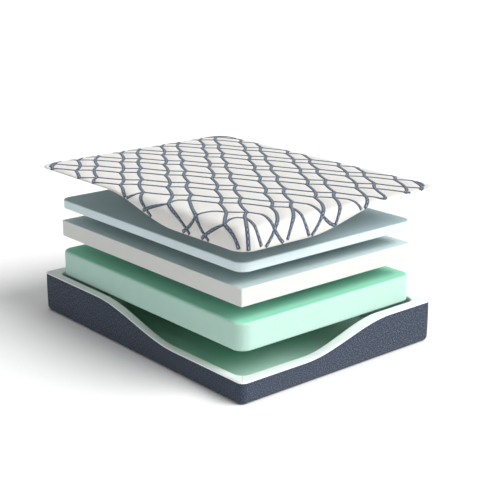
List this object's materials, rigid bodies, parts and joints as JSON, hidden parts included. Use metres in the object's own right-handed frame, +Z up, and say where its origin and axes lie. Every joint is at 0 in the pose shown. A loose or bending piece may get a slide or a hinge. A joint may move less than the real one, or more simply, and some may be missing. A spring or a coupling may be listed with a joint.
{
  "type": "memory foam mattress",
  "caption": "Queen-size layered foam mattress taken apart: foam tray in a woven border with a wave-cut rim, floating foam slabs and a knit cover with a raised cord trellis.",
  "frame": {"origin": "middle of the footprint, on the floor", "axes": "+X across the width, +Y along the length towards the head, +Z up; the wave-cut rim is low round the corner at -X -Y"},
  "size_m": [1.54, 2.045, 1.011],
  "materials": {
    "bottom_fabric": "matte",
    "border_fabric": "matte",
    "piping": "matte",
    "rail_foam": "matte",
    "pad_foam": "matte",
    "core_foam": "matte",
    "transition_foam": "matte",
    "comfort_foam": "matte",
    "knit": "matte",
    "fill": "matte",
    "backing": "matte",
    "binding": "matte",
    "cord": "matte"
  },
  "bodies": {
    "tray": {"base_bottom_panel": "bottom_fabric", "base_border_fabric": "border_fabric", "base_rim_piping": "piping", "base_rail_head": "rail_foam", "base_rail_left": "rail_foam", "base_rail_foot": "rail_foam", "base_rail_right": "rail_foam", "base_foam_pad": "pad_foam"},
    "core": {"core_foam": "core_foam"},
    "transition": {"transition_foam": "transition_foam"},
    "comfort": {"comfort_foam": "comfort_foam"},
    "cover": {"cover_knit": "knit", "cover_fill": "fill", "cover_backing": "backing", "cover_hem_binding": "binding", "cover_cord_trellis": "cord"}
  },
  "joints": [
    {"name": "core_lift", "type": "slide", "parent": "tray", "child": "core", "axis": [0, 0, 1], "range_m": [-0.238, 0.08]},
    {"name": "transition_lift", "type": "slide", "parent": "core", "child": "transition", "axis": [0, 0, 1], "range_m": [-0.094, 0]},
    {"name": "comfort_lift", "type": "slide", "parent": "transition", "child": "comfort", "axis": [0, 0, 1], "range_m": [-0.087, 0]},
    {"name": "cover_lift", "type": "slide", "parent": "comfort", "child": "cover", "axis": [0, 0, 1], "range_m": [-0.212, 0]}
  ]
}
